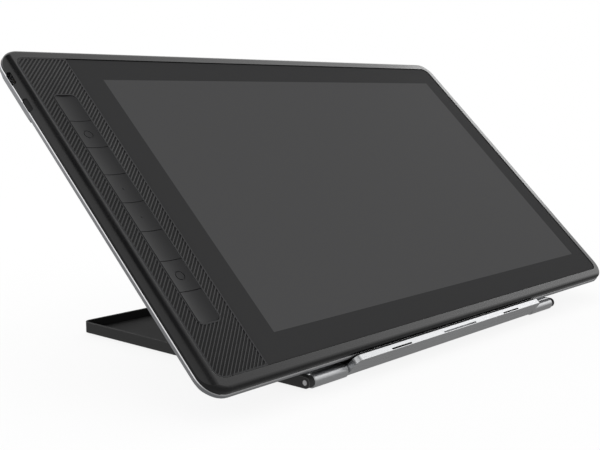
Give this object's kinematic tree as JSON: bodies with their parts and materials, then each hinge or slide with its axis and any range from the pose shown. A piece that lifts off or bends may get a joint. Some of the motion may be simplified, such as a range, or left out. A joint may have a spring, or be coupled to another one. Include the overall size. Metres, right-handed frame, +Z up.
{
  "type": "pen display on folding stand",
  "caption": "Drawing tablet with a built-in screen and a column of shortcut keys, propped at an angle on a folding tray stand.",
  "frame": {"origin": "middle of the stand's footprint, on the desk", "axes": "+X along the tablet's width to its right, +Y away from the user, +Z up"},
  "size_m": [0.4374, 0.2111, 0.1861],
  "materials": {
    "cover_metal": "satin anodised",
    "frame_plastic": "satin",
    "cover_glass": "etched, anti-glare",
    "clear_bond": "clear",
    "display": "matt polariser",
    "circuit_board": "solder resist",
    "steel": "plain",
    "inner_metal": "stamped",
    "flat_cable": "film",
    "panel_plastic": "ridged",
    "key_plastic": "satin",
    "button_plastic": "satin",
    "rubber": "matt",
    "black_metal": "matt black",
    "black_aluminium": "black anodised",
    "rail_plastic": "matt",
    "bright_metal": "bright cut"
  },
  "bodies": {
    "base": {"base_tray": "black_metal", "base_feet": "rubber", "notch_rails": "rail_plastic", "hinge_pin_left": "steel", "hinge_pin_right": "steel"},
    "holder": {"holder_plate": "black_aluminium", "front_lip": "bright_metal", "lip_pad": "rubber", "holder_pads": "rubber", "plate_screws": "steel", "hinge_sleeve_left": "bright_metal", "hinge_sleeve_right": "bright_metal", "prop_pin": "steel"},
    "prop": {"prop_leg": "black_metal"},
    "tablet": {"back_cover": "cover_metal", "front_frame": "frame_plastic", "cover_glass": "cover_glass", "usb_socket": "steel", "key_panel": "panel_plastic", "rear_feet": "rubber", "bonding_layer": "clear_bond", "display_panel": "display", "pen_sensor": "circuit_board", "sensor_shield": "steel", "inner_frame": "inner_metal", "main_board": "circuit_board", "port_board": "circuit_board", "panel_cable": "flat_cable", "sensor_cable": "flat_cable", "key_board": "circuit_board", "key_domes": "steel", "case_screws": "steel"},
    "power_button": {"power_button": "button_plastic"},
    "shortcut_key_1": {"shortcut_key_1": "key_plastic"},
    "shortcut_key_2": {"shortcut_key_2": "key_plastic"},
    "shortcut_key_3": {"shortcut_key_3": "key_plastic"},
    "shortcut_key_4": {"shortcut_key_4": "key_plastic"},
    "shortcut_key_5": {"shortcut_key_5": "key_plastic"},
    "shortcut_key_6": {"shortcut_key_6": "key_plastic"},
    "shortcut_key_7": {"shortcut_key_7": "key_plastic"},
    "shortcut_key_8": {"shortcut_key_8": "key_plastic"}
  },
  "joints": [
    {"name": "stand_tilt", "type": "hinge", "parent": "base", "child": "holder", "pos_m": [0, -0.09855, 0.00455], "axis": [1, 0, 0], "range_deg": [-39.6, 16.4]},
    {"name": "prop_swing", "type": "hinge", "parent": "holder", "child": "prop", "pos_m": [0, -0.02571, 0.06895], "axis": [1, 0, 0], "range_deg": [-32.8, 79.2]},
    {"name": "tablet_lift", "type": "slide", "parent": "holder", "child": "tablet", "axis": [0, -0.6896, 0.7242], "range_m": [0, 0.08]},
    {"name": "power_press", "type": "slide", "parent": "tablet", "child": "power_button", "axis": [1, 0, 0], "range_m": [0, 0.0005], "stiffness_N_per_m": 1500, "springref_m": -0.0006},
    {"name": "key_1_press", "type": "slide", "parent": "tablet", "child": "shortcut_key_1", "axis": [0, 0.6896, -0.7242], "range_m": [0, 0.0006], "stiffness_N_per_m": 700, "springref_m": -0.0006},
    {"name": "key_2_press", "type": "slide", "parent": "tablet", "child": "shortcut_key_2", "axis": [0, 0.6896, -0.7242], "range_m": [0, 0.0006], "stiffness_N_per_m": 700, "springref_m": -0.0006},
    {"name": "key_3_press", "type": "slide", "parent": "tablet", "child": "shortcut_key_3", "axis": [0, 0.6896, -0.7242], "range_m": [0, 0.0006], "stiffness_N_per_m": 700, "springref_m": -0.0006},
    {"name": "key_4_press", "type": "slide", "parent": "tablet", "child": "shortcut_key_4", "axis": [0, 0.6896, -0.7242], "range_m": [0, 0.0006], "stiffness_N_per_m": 700, "springref_m": -0.0006},
    {"name": "key_5_press", "type": "slide", "parent": "tablet", "child": "shortcut_key_5", "axis": [0, 0.6896, -0.7242], "range_m": [0, 0.0006], "stiffness_N_per_m": 700, "springref_m": -0.0006},
    {"name": "key_6_press", "type": "slide", "parent": "tablet", "child": "shortcut_key_6", "axis": [0, 0.6896, -0.7242], "range_m": [0, 0.0006], "stiffness_N_per_m": 700, "springref_m": -0.0006},
    {"name": "key_7_press", "type": "slide", "parent": "tablet", "child": "shortcut_key_7", "axis": [0, 0.6896, -0.7242], "range_m": [0, 0.0006], "stiffness_N_per_m": 700, "springref_m": -0.0006},
    {"name": "key_8_press", "type": "slide", "parent": "tablet", "child": "shortcut_key_8", "axis": [0, 0.6896, -0.7242], "range_m": [0, 0.0006], "stiffness_N_per_m": 700, "springref_m": -0.0006}
  ],
  "couplings": [
    {"joint": "prop_swing", "follows": "stand_tilt", "ratio": -2}
  ]
}
